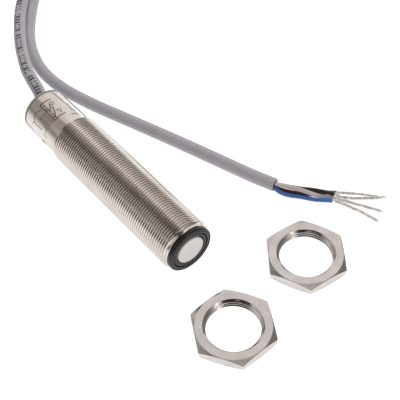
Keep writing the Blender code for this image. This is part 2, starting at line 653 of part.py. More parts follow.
def build_nut(name, x, y, turn):
    corner = NUT_ACROSS_FLATS / math.sqrt(3)
    bm = bmesh.new()
    bmesh.ops.create_cone(
        bm, cap_ends=True, segments=6, radius1=corner, radius2=corner, depth=NUT_THICKNESS,
    )
    first = math.radians(turn) + bm.verts[:][0].co.xy.angle_signed(Vector((1.0, 0.0)))
    place = Vector((x * MM, y * MM, FLOOR_Z + NUT_THICKNESS / 2))
    bm.transform(Matrix.Translation(place) @ Matrix.Rotation(first, 4, "Z"))
    nickel = material(name + "_nickel", (0.62, 0.59, 0.55), 0.35, 1.0)
    nut = add_piece(name, mesh_from(name, bm), nickel)
    drop = (corner - NUT_FACE_RADIUS) * math.tan(NUT_CHAMFER_ANGLE)
    spare = 0.2 * MM
    wide = corner + spare
    side = drop + spare * math.tan(NUT_CHAMFER_ANGLE)
    bottom = (place.x, place.y, FLOOR_Z)
    top = NUT_THICKNESS
    lens = (
        (0.0, 0.0), (0.0, NUT_FACE_RADIUS), (side, wide), (top - side, wide),
        (top, NUT_FACE_RADIUS), (top, 0.0),
    )
    cut(nut, turned(name + "_lens", lens, SEGMENTS, "Z", bottom), "INTERSECT")
    step = NUT_MOUTH_RADIUS - NUT_BORE_RADIUS
    bore = (
        (-step, 0.0), (-step, NUT_MOUTH_RADIUS + step), (step, NUT_BORE_RADIUS),
        (top - step, NUT_BORE_RADIUS), (top + step, NUT_MOUTH_RADIUS + step), (top + step, 0.0),
    )
    cut(nut, turned(name + "_bore", bore, SEGMENTS, "Z", bottom))
    return nut


def main():
    for old in list(bpy.data.objects):
        bpy.data.objects.remove(old, do_unlink=True)
    build_housing()
    build_front()
    build_transducer()
    build_electronics()
    build_indicator()
    build_rear()
    build_board_wires()
    build_cable()
    build_stripped_end()
    for name, place in NUTS.items():
        build_nut(name, *place)


main()
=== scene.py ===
"""The visible surfaces of the M18 sensor, its tail cable and its two lock nuts.

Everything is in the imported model's frame: the sensing face is at the origin and looks along +X,
+Z is up. Sizes are in millimetres times MM. The sensor's pieces and the nuts' heights take their
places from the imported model's nodes.
"""
import math

import bmesh
import bpy
from mathutils import Matrix, Vector


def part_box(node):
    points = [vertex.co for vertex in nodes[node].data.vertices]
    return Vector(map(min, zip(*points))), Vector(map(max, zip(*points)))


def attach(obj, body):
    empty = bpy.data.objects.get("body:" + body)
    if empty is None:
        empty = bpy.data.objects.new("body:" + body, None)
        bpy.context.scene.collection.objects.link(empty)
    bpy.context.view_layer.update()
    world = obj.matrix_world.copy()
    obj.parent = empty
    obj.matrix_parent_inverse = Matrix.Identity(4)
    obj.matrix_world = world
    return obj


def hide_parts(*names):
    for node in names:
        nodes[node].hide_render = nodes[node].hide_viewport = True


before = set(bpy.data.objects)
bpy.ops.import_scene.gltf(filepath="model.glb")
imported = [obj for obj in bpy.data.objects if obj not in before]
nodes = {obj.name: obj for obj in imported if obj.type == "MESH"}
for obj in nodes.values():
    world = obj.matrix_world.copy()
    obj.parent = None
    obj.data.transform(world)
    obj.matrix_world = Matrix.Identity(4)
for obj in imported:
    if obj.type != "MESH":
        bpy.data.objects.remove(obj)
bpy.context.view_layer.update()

MM = 0.001
TURN = 2 * math.pi

# Threaded housing
THREAD_RADIUS = 9.0 * MM
ROOT_RADIUS = 8.39 * MM
THREAD_PITCH = 1.0 * MM
TAIL_RADIUS = 8.35 * MM
BORE_RADIUS = 7.8 * MM
CREST_ROUNDING = 0.06  # of the thread's depth
LEAD_IN = 0.5 * MM
LEAD_SLOPE = 0.8  # how fast the thread rises from its ends
THREAD_SEGMENTS = 96
PLAIN_SHARE = 17.4 / 79.4  # of the housing's length
LENS_RADIUS = 1.3 * MM
LENS_ANGLE = math.radians(196.0)
LENS_INNER_END = 4.3 * MM  # from the sensor's axis
LENS_DOME = 0.25 * MM
LENS_PLAY = 0.15 * MM  # between the window and its hole

# Cable
CABLE_DIAMETER = 4.6 * MM
CABLE_SEGMENTS = 20
CORE_DIAMETER = 1.45 * MM
WIRE_DIAMETER = 0.42 * MM
WIRES = 7
STRAND_LAY = 4.4 * MM  # along the bundle, for one turn of a wire round it
WIRE_SPREAD = 0.35  # how far a wire strays in or out at the tip, as a share of its offset

# The coil's centreline, in mm and turns
COIL_CENTRE = (-186.4, 68.4)
COIL_OUTER = 39.5
COIL_START = math.radians(-61.4)
LAYER_TURNS = 4.93
ALL_TURNS = 9.884
LOW_LAYER = -6.7
HIGH_LAYER = -2.1
CLIMB = 0.35  # of a turn on each side of the change of layer

# The cable's way, in mm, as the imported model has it
TAIL_ROUTE = (
    (-75.0, 0.0, 0.0), (-78.9, 0.0, 0.0), (-82.2, 0.8, 0.0), (-86.5, 2.2, 0.0),
    (-90.9, 3.6, -0.1), (-95.6, 4.7, -0.3), (-100.5, 5.9, -0.6), (-104.4, 7.0, -0.9),
    (-112.8, 10.5, -1.6), (-120.9, 14.4, -2.2), (-128.6, 18.9, -2.6), (-135.8, 23.7, -2.7),
    (-142.7, 29.3, -2.8), (-147.6, 33.0, -3.3), (-151.6, 35.0, -4.2), (-154.1, 35.8, -4.8),
    (-160.6, 36.4, -6.0),
)
END_ROUTE = (
    (-150.3, 48.0, -3.9),
    (-148.9, 43.0, -5.3), (-147.8, 39.6, -6.2), (-144.9, 35.4, -6.7), (-138.0, 29.5, -6.7),
    (-130.7, 24.0, -6.7), (-122.8, 19.2, -6.7), (-114.0, 15.7, -6.7), (-106.0, 14.0, -6.7),
    (-97.5, 13.9, -6.7), (-88.9, 15.2, -6.7), (-77.1, 18.4, -6.7), (-62.6, 23.3, -6.7),
    (-46.5, 28.7, -6.7), (-30.9, 33.7, -6.7), (-15.7, 38.5, -6.7), (-6.7, 41.8, -6.7),
)
CORE_ROUTES = {
    "white": (
        (-6.3, 41.8, -5.7), (-2.9, 43.8, -5.8), (1.1, 46.4, -6.0), (4.6, 48.7, -6.8),
        (6.6, 51.2, -8.1), (9.3, 53.4, -8.2),
    ),
    "blue": (
        (-5.9, 40.8, -6.9), (-3.2, 41.6, -7.6), (-1.0, 43.0, -8.0), (2.0, 45.4, -8.0),
        (6.0, 48.0, -7.8), (8.4, 50.1, -7.6), (10.4, 52.0, -7.6),
    ),
    "black": (
        (-6.8, 42.8, -7.0), (-4.1, 44.8, -7.4), (-0.1, 47.4, -7.1), (3.3, 49.8, -6.6),
        (6.8, 52.1, -6.4), (9.5, 53.9, -6.4),
    ),
    "brown": (
        (-6.4, 41.9, -8.1), (-3.2, 43.7, -8.3), (0.9, 46.6, -8.3), (4.0, 49.9, -8.3),
        (5.5, 52.5, -8.2), (9.0, 55.4, -7.3),
    ),
}
STRAND_ENDS = {  # points after the core's end
    "white": ((13.5, 55.8, -8.2), (19.5, 59.2, -8.3), (24.2, 61.8, -8.4)),
    "blue": ((13.4, 53.9, -8.0), (19.6, 56.3, -8.4), (26.3, 57.8, -8.4)),
    "black": (
        (11.9, 54.9, -6.6), (14.8, 58.2, -7.2), (18.6, 62.9, -7.4), (21.0, 66.1, -7.4),
    ),
    "brown": ((14.2, 60.7, -7.6), (18.1, 64.4, -8.2), (20.7, 67.0, -8.4)),
}

# The jacket's printed row of bars
PRINT_CELL = 1.65 * MM  # from bar to bar
PRINT_WORD = 13.2 * MM  # from gap to gap
PRINT_WORD_SHARE = 0.84  # of that, the printed part
PRINT_SIDE = 0.71  # where it is, as a share of the way round the cable
PRINT_HEIGHT = 0.17  # of the way round
PRINT_START = 13.0 * MM
PRINT_END = 300.0 * MM

# Front ring, soft ring and disc, from the sensing face back
BEZEL_MOUTH = 6.7 * MM
BEZEL_SHELF = 5.9 * MM
SHELF_DEPTH = 2.8 * MM
LIP_DEPTH = 1.2 * MM
GROOVE = (7.35 * MM, 7.40 * MM, 7.62 * MM, 7.67 * MM)
GROOVE_DEPTH = 0.18 * MM
ISOLATOR_INNER = 5.23 * MM
ISOLATOR_OUTER = 6.4 * MM
ISOLATOR_DEPTH = 2.5 * MM
DISC_RIM_HEIGHT = 0.03 * MM
BORE_PLAY = 0.3 * MM  # between the tube's bore and what sits in it

# Marks on the plain length
MARK_HEIGHT = 0.02 * MM
THICK_MARK = 0.36 * MM
FINE_MARK = 0.21 * MM
# Plain strokes, roughly where the engraved diagram has its own: (x in mm, angle in degrees)
THICK_LINES = (
    ((-77.1, 85), (-77.5, 115), (-68.3, 116), (-68.3, 84)),
    ((-73.7, 95), (-70.9, 101), (-69.2, 108), (-69.7, 113)),
    ((-75.4, 96), (-73.3, 102), (-72.6, 108)),
    ((-66.4, 74), (-66.4, 64), (-65.5, 58)),
)
FINE_LINES = (
    ((-75.9, 94), (-76.0, 88), (-75.2, 84), (-74.3, 88), (-74.4, 94), (-75.1, 96), (-75.9, 94)),
    ((-75.6, 90), (-74.8, 90)),
    ((-71.2, 94), (-71.2, 85), (-69.4, 88), (-71.2, 94)),
    ((-76.2, 111), (-76.2, 107)),
    ((-74.2, 113), (-74.2, 108), (-73.3, 108), (-73.3, 113), (-74.2, 113)),
    ((-71.0, 110), (-70.5, 110)),
    ((-68.7, 66), (-68.7, 60), (-68.0, 57)),
    ((-72.6, 56), (-72.1, 56)),
    ((-70.2, 60), (-69.7, 59)),
    ((-75.6, 119), (-76.5, 128), (-76.9, 141), (-76.1, 153)),
    ((-76.8, 164), (-75.8, 154), (-74.6, 157), (-73.4, 156), (-71.2, 157)),
    ((-70.2, 144), (-68.9, 144), (-68.9, 154)),
    ((-69.6, 162), (-67.7, 165)),
)
# Rows of two short strokes each, which stand for small lettering, in mm
PIN_ROWS = (-73.8, -73.1, -72.2, -71.5, -70.6, -69.9, -69.1, -68.4)

# Lock nuts
NUT_FLATS = 24.0 * MM
NUT_BORE = 8.5 * MM
NUT_ROOT = 9.02 * MM
NUT_MOUTH = 9.4 * MM
NUT_FACE = 11.8 * MM
NUT_CHAMFER = math.radians(24.0)
NUT_SEGMENTS = 192
MOUTH_SLOPE = 1.5  # how fast the mouth narrows with depth
# Centre in mm, and the angle of one corner
NUTS = {"lock_nut_1": (21.4, 29.3, 2.49), "lock_nut_2": (26.6, -5.6, 2.63)}

FLOOR_Z = -THREAD_RADIUS
FLOOR_SIZE = 3.0
FLOOR_GAP = 0.05 * MM  # between the floor and what stands on it
FLOOR_GLOW = 0.80  # the paper's own brightness, besides what falls on it
FADE_HEADING = math.radians(-120.0)  # where the floor that the metal reflects fades away
FADE_START = 0.02
FADE_END = 0.16


# Node graphs


class Graph:
    """Short calls for adding nodes to one material's or world's tree."""

    def __init__(self, tree):
        self.tree = tree

    def add(self, kind, inputs=None, **settings):
        node = self.tree.nodes.new(kind)
        for name, value in settings.items():
            setattr(node, name, value)
        for socket, value in (inputs or {}).items():
            self.set(node.inputs[socket], value)
        return node

    def set(self, socket, value):
        if isinstance(value, bpy.types.NodeSocket):
            self.tree.links.new(value, socket)
        else:
            socket.default_value = value

    def math(self, operation, first, second=0.0):
        return self.add("ShaderNodeMath", {0: first, 1: second}, operation=operation).outputs[0]

    def smooth(self, value, low, high, start=0.0, end=1.0):
        inputs = {"Value": value, "From Min": low, "From Max": high}
        inputs.update({"To Min": start, "To Max": end})
        step = self.add("ShaderNodeMapRange", inputs, interpolation_type="SMOOTHSTEP")
        return step.outputs["Result"]

    def mix(self, factor, first, second):
        node = self.add("ShaderNodeMix", data_type="RGBA")
        self.set(node.inputs[0], factor)
        self.set(node.inputs[6], first)
        self.set(node.inputs[7], second)
        return node.outputs[2]

    def place(self, stretch=(1.0, 1.0, 1.0)):
        coords = self.add("ShaderNodeTexCoord").outputs["Object"]
        return self.add("ShaderNodeMapping", {"Vector": coords, "Scale": stretch}).outputs[0]

    def noise(self, scale, detail=2.0, stretch=(1.0, 1.0, 1.0), rough=0.5):
        inputs = {"Vector": self.place(stretch), "Scale": scale, "Detail": detail}
        inputs["Roughness"] = rough
        return self.add("ShaderNodeTexNoise", inputs).outputs["Fac"]


def rgb(red, green, blue):
    return (red, green, blue, 1.0)


class Finish(Graph):
    """A Principled material under construction."""

    def __init__(self, name, colour, roughness, metallic=0.0):
        self.material = bpy.data.materials.new(name)
        self.material.use_nodes = True
        super().__init__(self.material.node_tree)
        self.shader = self.tree.nodes["Principled BSDF"]
        self.set(self.shader.inputs["Metallic"], metallic)
        self.set(self.shader.inputs["Base Color"], rgb(*colour))
        self.set(self.shader.inputs["Roughness"], roughness)
        self.material.diffuse_color = rgb(*colour)

    def colours(self, factor, first, second):
        mixed = self.mix(factor, rgb(*first), rgb(*second))
        self.set(self.shader.inputs["Base Color"], mixed)

    def roughness(self, factor, low, high):
        self.set(self.shader.inputs["Roughness"], self.smooth(factor, 0.3, 0.7, low, high))

    def bump(self, height, strength, distance):
        inputs = {"Height": height, "Strength": strength, "Distance": distance}
        self.set(self.shader.inputs["Normal"], self.add("ShaderNodeBump", inputs).outputs[0])


def plain_finish(name, colour, roughness, metallic=0.0, grain=900.0, depth=0.03, spread=0.15):
    """A moulded, cast or drawn material: a little colour variation and a fine grain."""
    finish = Finish(name, colour, roughness, metallic)
    broad = finish.noise(120.0, 3.0)
    fine = finish.noise(grain, 2.0)
    darker = [c * (1.0 - spread) for c in colour]
    lighter = [min(1.0, c * (1.0 + spread)) for c in colour]
    finish.colours(finish.smooth(broad, 0.3, 0.7), darker, lighter)
    finish.roughness(fine, roughness * 0.85, min(1.0, roughness * 1.15))
    finish.bump(fine, 0.5, depth * MM)
    return finish.material


def nickel_thread():
    finish = Finish("nickel_thread", (0.62, 0.58, 0.55), 0.15, 1.0)
    stain = finish.noise(160.0, 4.0, (0.35, 1.0, 1.0), 0.6)
    finish.colours(finish.smooth(stain, 0.35, 0.65), (0.585, 0.54, 0.505), (0.66, 0.62, 0.59))
    chatter = finish.noise(900.0, 2.0, (3.0, 1.0, 1.0))
    finish.roughness(chatter, 0.11, 0.19)
    finish.bump(chatter, 0.12, 0.01 * MM)
    return finish.material


def nickel_nut():
    """Turned faces: fine rings round the nut's own axis, with a light satin scatter."""
    finish = Finish("nickel_nut", (0.58, 0.55, 0.535), 0.28, 1.0)
    parts = finish.add("ShaderNodeSeparateXYZ", {0: finish.place()})
    across = finish.math("MULTIPLY", parts.outputs[0], parts.outputs[0])
    along = finish.math("MULTIPLY", parts.outputs[1], parts.outputs[1])
    radius = finish.math("SQRT", finish.math("ADD", across, along))
    point = finish.add("ShaderNodeCombineXYZ", {0: radius, 1: parts.outputs[2]}).outputs[0]
    inputs = {"Vector": point, "Scale": 6000.0, "Detail": 3.0, "Roughness": 0.7}
    rings = finish.add("ShaderNodeTexNoise", inputs).outputs["Fac"]
    stain = finish.noise(220.0, 4.0)
    shade = finish.math("MULTIPLY", finish.math("ADD", stain, rings), 0.5)
    finish.colours(finish.smooth(shade, 0.35, 0.65), (0.51, 0.48, 0.465), (0.65, 0.625, 0.61))
    face = finish.smooth(radius, NUT_MOUTH - 0.1 * MM, NUT_MOUTH + 0.1 * MM)
    scatter = finish.math("ADD", finish.math("MULTIPLY", stain, 0.12), 0.2)
    scatter = finish.math("MULTIPLY", scatter, finish.smooth(face, 0.0, 1.0, 0.5, 1.0))
    finish.set(finish.shader.inputs["Roughness"], scatter)
    finish.bump(rings, 0.4, 0.03 * MM)
    return finish.material


def jacket():
    """Grey sheath with a printed row of plain bars along one side of the sensor's stretch."""
    grey = (0.375, 0.365, 0.40)
    finish = Finish("grey_jacket", grey, 0.5)
    uv = finish.add("ShaderNodeSeparateXYZ", {0: finish.add("ShaderNodeUVMap").outputs[0]})
    around, along = uv.outputs[0], uv.outputs[1]
    cell = finish.math("MULTIPLY", along, 1.0 / PRINT_CELL)
    number = finish.math("FLOOR", cell)
    inside = finish.math("FRACT", cell)
    chance = finish.add("ShaderNodeTexWhiteNoise", {"W": number}, noise_dimensions="1D")
    width = finish.smooth(chance.outputs["Value"], 0.0, 1.0, 0.45, 0.75)
    bar = finish.math("LESS_THAN", inside, width)
    word = finish.math("FRACT", finish.math("MULTIPLY", along, 1.0 / PRINT_WORD))
    bar = finish.math("MULTIPLY", bar, finish.math("LESS_THAN", word, PRINT_WORD_SHARE))
    offset = finish.math("ABSOLUTE", finish.math("SUBTRACT", around, PRINT_SIDE))
    rim = finish.math("LESS_THAN", offset, PRINT_HEIGHT / 2)
    hollow = finish.math("GREATER_THAN", offset, PRINT_HEIGHT / 5)
    solid = finish.math("GREATER_THAN", chance.outputs["Value"], 0.45)
    filled = finish.math("MAXIMUM", hollow, solid)
    bar = finish.math("MULTIPLY", finish.math("MULTIPLY", bar, rim), filled)
    bar = finish.math("MULTIPLY", bar, finish.math("LESS_THAN", along, PRINT_END))
    bar = finish.math("MULTIPLY", bar, finish.math("GREATER_THAN", along, PRINT_START))
    soil = finish.noise(260.0, 3.0)
    base = finish.mix(finish.smooth(soil, 0.3, 0.7), rgb(0.35, 0.345, 0.375), rgb(*grey))
    ink = finish.math("MULTIPLY", bar, 0.9)
    finish.set(finish.shader.inputs["Base Color"], finish.mix(ink, base, rgb(0.03, 0.03, 0.04)))
    grain = finish.noise(1400.0, 2.0)
    finish.roughness(grain, 0.42, 0.58)
    finish.bump(grain, 0.5, 0.03 * MM)
    return finish.material


def strand_tin():
    finish = Finish("tinned_strands", (0.88, 0.87, 0.85), 0.3, 0.7)
    solder = finish.noise(500.0, 3.0)
    finish.colours(finish.smooth(solder, 0.35, 0.65), (0.78, 0.77, 0.75), (0.95, 0.94, 0.92))
    finish.roughness(solder, 0.22, 0.4)
    finish.bump(solder, 0.4, 0.05 * MM)
    return finish.material


# Meshes


def mesh_from(name, bm, smooth_angle=math.radians(32.0)):
    bmesh.ops.recalc_face_normals(bm, faces=bm.faces)
    mesh = bpy.data.meshes.new(name)
    bm.to_mesh(mesh)
    bm.free()
    mesh.shade_smooth()
    mesh.set_sharp_from_angle(angle=smooth_angle)
    return mesh


def add_piece(name, mesh, material, body, slot, *replaced, place=(0.0, 0.0, 0.0)):
    piece = bpy.data.objects.new(name, mesh)
    bpy.context.scene.collection.objects.link(piece)
    mesh.materials.append(material)
    piece.location = place
    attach(piece, body)
    if replaced:
        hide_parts(*replaced)
    return piece


def join_rings(bm, first, second):
    """Faces between two rings of as many points, or between a ring and one point."""
    count = max(len(first), len(second))
    for k in range(count):
        after = (k + 1) % count
        corners = [first[k % len(first)], first[after % len(first)]]
        corners += [second[after % len(second)], second[k % len(second)]]
        corners = list(dict.fromkeys(corners))
        if len(corners) > 2:
            bm.faces.new(corners)


def turned(name, outline, segments=96):
    """A closed outline of (x, radius) points turned about the sensor's axis."""
    bm = bmesh.new()
    rings = []
    for x, radius in outline:
        if radius == 0.0:
            rings.append([bm.verts.new((x, 0.0, 0.0))])
            continue
        angles = [TURN * k / segments for k in range(segments)]
        rings.append([
            bm.verts.new((x, radius * math.cos(a), radius * math.sin(a))) for a in angles
        ])
    pairs = list(zip(rings, rings[1:]))
    if len(rings[0]) > 1:
        pairs.append((rings[-1], rings[0]))
    for first, second in pairs:
        join_rings(bm, first, second)
    return mesh_from(name, bm)


def rounded(points, radius, steps=4):
    """A closed outline with its corners rounded where there is room."""
    outline = []
    count = len(points)
    for k in range(count):
        before, corner, after = (Vector(points[(k + d) % count]) for d in (-1, 0, 1))
        room = min((before - corner).length, (after - corner).length) * 0.45
        reach = min(radius, room)
        start = corner + (before - corner).normalized() * reach
        end = corner + (after - corner).normalized() * reach
        for n in range(steps + 1):
            t = n / steps
            outline.append(tuple((1 - t) ** 2 * start + 2 * t * (1 - t) * corner + t * t * end))
    return outline


def smooth_route(points, spacing):
    """Evenly spaced points on a smooth curve through a route's own points (Catmull-Rom)."""
    knots = [Vector(p) for p in points]
    knots = [2 * knots[0] - knots[1], *knots, 2 * knots[-1] - knots[-2]]
    fine = []
    steps = 12
    for a, b, c, d in zip(knots, knots[1:], knots[2:], knots[3:]):
        for k in range(steps):
            t = k / steps
            fine.append(0.5 * (
                2 * b + (c - a) * t + (2 * a - 5 * b + 4 * c - d) * t ** 2
                + (3 * b - a - 3 * c + d) * t ** 3
            ))
    fine.append(knots[-2])
    lengths = [0.0]
    for p, q in zip(fine, fine[1:]):
        lengths.append(lengths[-1] + (q - p).length)
    count = max(2, round(lengths[-1] / spacing))
    even = []
    k = 0
    for n in range(count + 1):
        target = lengths[-1] * n / count
        while k < len(fine) - 2 and lengths[k + 1] < target:
            k += 1
        share = (target - lengths[k]) / (lengths[k + 1] - lengths[k])
        even.append(fine[k].lerp(fine[k + 1], share))
    return even


def carried_frames(path):
    """A side and an up direction at each point of a path, carried along without twisting."""
    ahead = [(path[min(k + 1, len(path) - 1)] - path[max(k - 1, 0)]).normalized()
             for k in range(len(path))]
    side = ahead[0].cross(Vector((0.0, 0.0, 1.0))).normalized()
    frames = []
    for k, heading in enumerate(ahead):
        if k:
            side = ahead[k - 1].rotation_difference(heading) @ side
        side = (side - heading * side.dot(heading)).normalized()
        frames.append((side, heading.cross(side)))
    return frames


def add_tube(bm, path, radius, segments, uv=None, end_rings=()):
    """A closed tube along a path.

    end_rings are (distance along the last heading, radius) steps that finish the far end.
    """
    frames = carried_frames(path)
    angles = [TURN * k / segments for k in range(segments)]

    def ring(centre, axes, width):
        side, up = axes
        return [
            bm.verts.new(centre + side * (width * math.cos(a)) + up * (width * math.sin(a)))
            for a in angles
        ]

    rings = [ring(point, axes, radius) for point, axes in zip(path, frames)]
    heading = (path[-1] - path[-2]).normalized()
    rings += [ring(path[-1] + heading * step, frames[-1], width) for step, width in end_rings]
    travelled = [0.0]
    for p, q in zip(path, path[1:]):
        travelled.append(travelled[-1] + (q - p).length)
    travelled += [travelled[-1]] * len(end_rings)
    for n, (first, second) in enumerate(zip(rings, rings[1:])):
        for k in range(segments):
            after = (k + 1) % segments
            face = bm.faces.new((first[k], first[after], second[after], second[k]))
            if uv:
                turns = (k / segments, (k + 1) / segments)
                places = ((turns[0], n), (turns[1], n), (turns[1], n + 1), (turns[0], n + 1))
                for loop, (u, row) in zip(face.loops, places):
                    loop[uv].uv = (u, travelled[row])
    bm.faces.new(rings[0])
    bm.faces.new(rings[-1])


def helix_surface(bm, profile, start, end, segments, radius_at, point_at):
    """A helical surface between two places along an axis.

    profile is one pitch as (share of the pitch, radius); radius_at(place, radius) trims the
    ends. Rows follow the helix, and where they would leave the ends they lie on them.
    """
    turns = math.ceil((end - start) / THREAD_PITCH) + 2
    rows = []
    for turn in range(-1, turns):
        for share, radius in profile:
            row = []
            for k in range(segments):
                advance = (turn + share + k / segments) * THREAD_PITCH
                place = min(end, max(start, start + advance))
                reach = radius_at(place, radius)
                row.append(bm.verts.new(point_at(place, reach, TURN * k / segments)))
            rows.append(row)
    per_turn = len(profile)
    for first, second in zip(rows, rows[1:]):
        for k in range(segments - 1):
            bm.faces.new((first[k], first[k + 1], second[k + 1], second[k]))
    last = segments - 1
    for n in range(len(rows) - per_turn - 1):
        bm.faces.new((
            rows[n][last], rows[n + per_turn][0], rows[n + per_turn + 1][0], rows[n + 1][last],
        ))


def cut_mesh(mesh, cutter_mesh):
    """The mesh less the cutter."""
    made = []
    for data in (mesh, cutter_mesh):
        made.append(bpy.data.objects.new("cut_work", data))
        bpy.context.scene.collection.objects.link(made[-1])
    work, cutter = made
    boolean = work.modifiers.new("cut", "BOOLEAN")
    boolean.solver = "EXACT"
    boolean.object = cutter
    graph = bpy.context.evaluated_depsgraph_get()
    result = bpy.data.meshes.new_from_object(work.evaluated_get(graph))
    for piece in made:
        bpy.data.objects.remove(piece)
    return result


# The sensor


def lens_axis():
    return Vector((0.0, math.cos(LENS_ANGLE), math.sin(LENS_ANGLE)))


def lens_middle():
    low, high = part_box("led_window")
    return (low.x + high.x) / 2


def radial_bar(radius, start, end, segments=32):
    bm = bmesh.new()
    bmesh.ops.create_cone(
        bm, cap_ends=True, segments=segments, radius1=radius, radius2=radius, depth=end - start,
    )
    turn = Vector((0.0, 0.0, 1.0)).rotation_difference(lens_axis()).to_matrix().to_4x4()
    middle = Vector((lens_middle(), 0.0, 0.0)) + lens_axis() * (start + end) / 2
    bm.transform(Matrix.Translation(middle) @ turn)
    return mesh_from("radial_bar", bm)


def build_housing():
    low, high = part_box("housing_tube")
    front = high.x - LEAD_IN
    rear = low.x + (high.x - low.x) * PLAIN_SHARE
    shoulder = THREAD_RADIUS - CREST_ROUNDING * (THREAD_RADIUS - ROOT_RADIUS)
    profile = (
        (0.0, ROOT_RADIUS), (0.1, ROOT_RADIUS), (0.40, shoulder), (0.44, THREAD_RADIUS),
        (0.58, THREAD_RADIUS), (0.62, shoulder), (0.92, ROOT_RADIUS),
    )

    def trimmed(place, radius):
        lead = min(place - start, end - place)
        return min(radius, ROOT_RADIUS + max(0.0, lead) * LEAD_SLOPE)

    def point(place, radius, angle):
        return (-place, radius * math.cos(angle), radius * math.sin(angle))

    bm = bmesh.new()
    start, end = -front, -rear
    helix_surface(bm, profile, start, end, THREAD_SEGMENTS, trimmed, point)

    def ring(x, radius):
        angles = [TURN * k / THREAD_SEGMENTS for k in range(THREAD_SEGMENTS)]
        return [bm.verts.new((x, radius * math.cos(a), radius * math.sin(a))) for a in angles]

    chamfer = 0.12 * MM
    break_edge = 0.1 * MM
    edge = 0.3 * MM
    outline = (
        (front, ROOT_RADIUS), (high.x - chamfer, ROOT_RADIUS),
        (high.x, ROOT_RADIUS - chamfer), (high.x, BORE_RADIUS + break_edge),
        (high.x - break_edge, BORE_RADIUS), (low.x + break_edge, BORE_RADIUS),
        (low.x, BORE_RADIUS + break_edge), (low.x, TAIL_RADIUS - edge),
        (low.x + break_edge, TAIL_RADIUS - break_edge), (low.x + edge, TAIL_RADIUS),
        (rear - 0.2 * MM, TAIL_RADIUS), (rear, ROOT_RADIUS),
    )
    rings = [ring(*place) for place in outline]
    for first, second in zip(rings, rings[1:]):
        join_rings(bm, first, second)
    bmesh.ops.remove_doubles(bm, verts=bm.verts, dist=0.001 * MM)
    bmesh.ops.dissolve_degenerate(bm, edges=bm.edges, dist=0.0005 * MM)
    mesh = mesh_from("housing", bm)
    hole = radial_bar(LENS_RADIUS + LENS_PLAY, BORE_RADIUS - 0.5 * MM, TAIL_RADIUS + 1 * MM)
    mesh = cut_mesh(mesh, hole)
    mesh.shade_smooth()
    mesh.set_sharp_from_angle(angle=math.radians(32.0))
    mesh.materials.clear()
    add_piece(
        "housing", mesh, nickel_thread(), "sensor", "nickel_plated_brass", "housing_tube",
    )


def ribbon(bm, start, end, width):
    """A thin strip let into the plain length, between two (x in mm, angle in degrees) points."""
    radius = TAIL_RADIUS + MARK_HEIGHT
    first = Vector((start[0] * MM, math.radians(start[1]) * radius))
    last = Vector((end[0] * MM, math.radians(end[1]) * radius))
    along = (last - first).normalized() * width / 2
    across = Vector((-along.y, along.x))
    first -= along
    last += along
    count = max(1, math.ceil((last - first).length / (0.5 * MM)))
    loops = []
    for n in range(count + 1):
        middle = first.lerp(last, n / count)
        loop = []
        for side, depth in ((-1, 0.0), (1, 0.0), (1, -1.0), (-1, -1.0)):
            flat = middle + across * side
            angle = flat.y / radius
            level = radius + depth * 3 * MARK_HEIGHT
            loop.append(bm.verts.new((flat.x, level * math.cos(angle), level * math.sin(angle))))
        loops.append(loop)
    for a, b in zip(loops, loops[1:]):
        join_rings(bm, a, b)
    bm.faces.new(loops[0])
    bm.faces.new(loops[-1])


def build_marking():
    bm = bmesh.new()
    for lines, width in ((THICK_LINES, THICK_MARK), (FINE_LINES, FINE_MARK)):
        for line in lines:
            for start, end in zip(line, line[1:]):
                ribbon(bm, start, end, width)
    for n, x in enumerate(PIN_ROWS):
        ribbon(bm, (x, 120), (x, 127 - 2 * (n % 2)), FINE_MARK)
        ribbon(bm, (x, 130), (x, 137), FINE_MARK)
    ink = plain_finish("etched_marking", (0.07, 0.055, 0.045), 0.55)
    mesh = mesh_from("etched_diagram", bm)
    add_piece("etched_diagram", mesh, ink, "sensor", "nickel_plated_brass")


